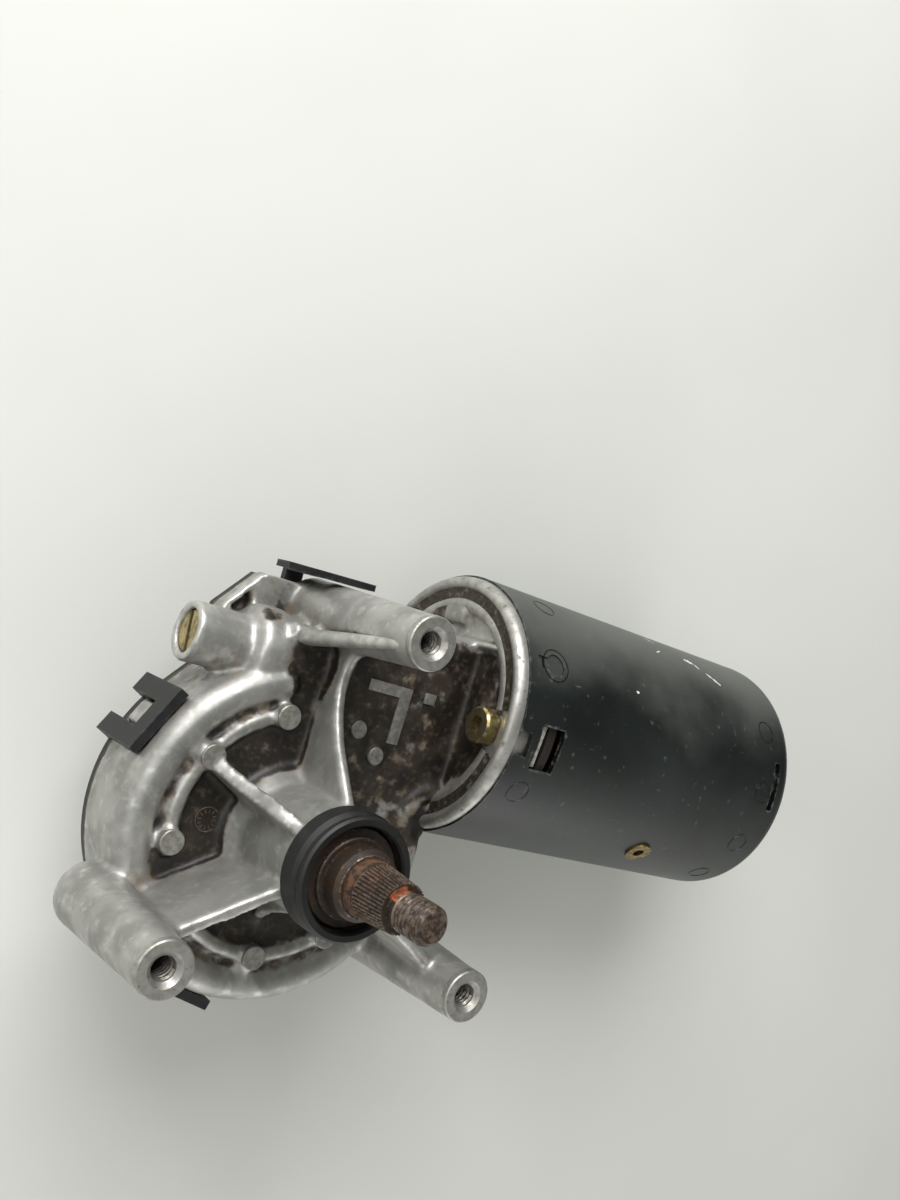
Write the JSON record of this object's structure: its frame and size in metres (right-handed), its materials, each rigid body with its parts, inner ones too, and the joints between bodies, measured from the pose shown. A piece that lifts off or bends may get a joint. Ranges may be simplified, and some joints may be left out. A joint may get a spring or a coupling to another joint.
{
  "type": "wiper motor",
  "caption": "Worm-geared wiper motor: steel can, cast gear housing on tapped posts, serrated output shaft, clipped rear cover with a plug.",
  "frame": {"origin": "on the output shaft's axis, at the base of its thread", "axes": "+Z along the output shaft towards its thread, +X along the motor axis towards the closed end of the can"},
  "size_m": [0.1843, 0.1106, 0.0996],
  "materials": {
    "cast_aluminium": "as cast, stained",
    "sintered_bronze": "sintered",
    "black_rubber": "moulded",
    "rusty_steel": "rusted",
    "white_acetal": "moulded",
    "turned_steel": "turned",
    "brass_sheet": "stamped",
    "lamination_steel": "punched",
    "enamelled_copper": "enamelled",
    "copper_bars": "turned",
    "phenolic": "moulded",
    "black_paint": "semi-gloss paint",
    "ferrite": "ground",
    "spring_steel": "rolled",
    "zinc_screw": "yellow zinc",
    "carbon": "pressed",
    "nut_steel": "zinc plated",
    "black_nylon": "moulded",
    "gasket_sheet": "sheet"
  },
  "bodies": {
    "motor": {"gear_housing": "cast_aluminium", "shaft_bushes": "sintered_bronze", "shaft_seal": "black_rubber", "motor_can": "black_paint", "drain_eyelet": "brass_sheet", "field_magnets": "ferrite", "end_bush": "sintered_bronze", "bush_retainer": "spring_steel", "front_bearing": "turned_steel", "nose_bush": "sintered_bronze", "thrust_pad": "white_acetal", "thrust_screw": "zinc_screw", "brush_holder": "phenolic", "brush_boxes": "brass_sheet", "brushes": "carbon", "brush_springs": "spring_steel", "flange_screws": "zinc_screw", "clamp_nuts": "nut_steel", "rear_cover": "black_nylon", "cover_seal": "gasket_sheet", "plug_blades": "brass_sheet", "park_contacts": "brass_sheet"},
    "output": {"output_shaft": "rusty_steel", "splash_washer": "rusty_steel", "retaining_ring": "rusty_steel", "shaft_collar": "rusty_steel", "worm_wheel": "white_acetal", "wheel_hub": "turned_steel", "thrust_washer": "turned_steel", "park_disc": "brass_sheet"},
    "armature": {"worm_shaft": "turned_steel", "armature_core": "lamination_steel", "armature_windings": "enamelled_copper", "commutator": "copper_bars", "commutator_hub": "phenolic"}
  },
  "joints": [
    {"name": "output_spin", "type": "hinge", "parent": "motor", "child": "output", "pos_m": [0, 0, 0], "axis": [0, 0, 1], "continuous": true},
    {"name": "armature_spin", "type": "hinge", "parent": "motor", "child": "armature", "pos_m": [0, 0.0374, -0.0595], "axis": [1, 0, 0], "continuous": true}
  ],
  "couplings": [
    {"joint": "output_spin", "follows": "armature_spin", "ratio": 0.016667}
  ]
}
